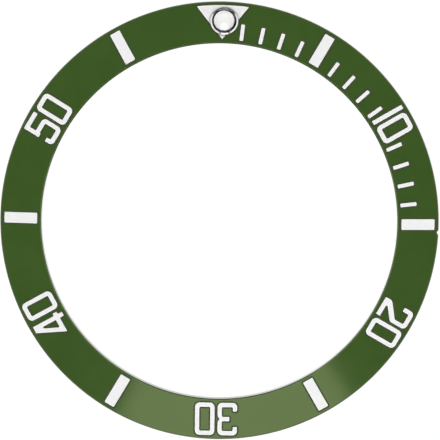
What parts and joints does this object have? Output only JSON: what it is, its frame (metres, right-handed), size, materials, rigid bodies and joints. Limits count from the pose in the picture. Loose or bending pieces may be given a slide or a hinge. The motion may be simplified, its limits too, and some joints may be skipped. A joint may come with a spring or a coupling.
{
  "type": "watch bezel insert",
  "caption": "Glossy green ring for a dive watch's rotating bezel, with a face that falls outwards, an engraved sixty minute scale and a luminous pearl.",
  "frame": {"origin": "on the ring's axis, in the plane of the bonding film's lower face, which is what the insert lies on", "axes": "+Z along the ring's axis, out of the face; +Y from the axis to the triangle at minute zero; +X from the axis to minute fifteen, so minutes count clockwise from above"},
  "size_m": [0.038, 0.038, 0.0018],
  "materials": {
    "green_ceramic": "polished",
    "adhesive_film": "satin",
    "triangle_silver": "satin",
    "polished_steel": "polished",
    "white_lume": "matte",
    "clear_lens": "gloss",
    "silver_inlay": "satin"
  },
  "bodies": {
    "root": {"insert_ring": "green_ceramic", "bonding_film": "adhesive_film", "triangle_inlay": "triangle_silver", "pearl_cup": "polished_steel", "pearl_lume": "white_lume", "pearl_lens": "clear_lens", "bar_inlay_5": "silver_inlay", "bar_inlay_15": "silver_inlay", "bar_inlay_25": "silver_inlay", "bar_inlay_35": "silver_inlay", "bar_inlay_45": "silver_inlay", "bar_inlay_55": "silver_inlay", "tick_inlay_1": "silver_inlay", "tick_inlay_2": "silver_inlay", "tick_inlay_3": "silver_inlay", "tick_inlay_4": "silver_inlay", "tick_inlay_6": "silver_inlay", "tick_inlay_7": "silver_inlay", "tick_inlay_8": "silver_inlay", "tick_inlay_9": "silver_inlay", "tick_inlay_11": "silver_inlay", "tick_inlay_12": "silver_inlay", "tick_inlay_13": "silver_inlay", "tick_inlay_14": "silver_inlay", "numeral_10_one": "silver_inlay", "numeral_20_two": "silver_inlay", "numeral_30_three": "silver_inlay", "numeral_40_four": "silver_inlay", "numeral_50_five": "silver_inlay", "numeral_10_zero": "silver_inlay", "numeral_20_zero": "silver_inlay", "numeral_30_zero": "silver_inlay", "numeral_40_zero": "silver_inlay", "numeral_50_zero": "silver_inlay"}
  },
  "joints": []
}
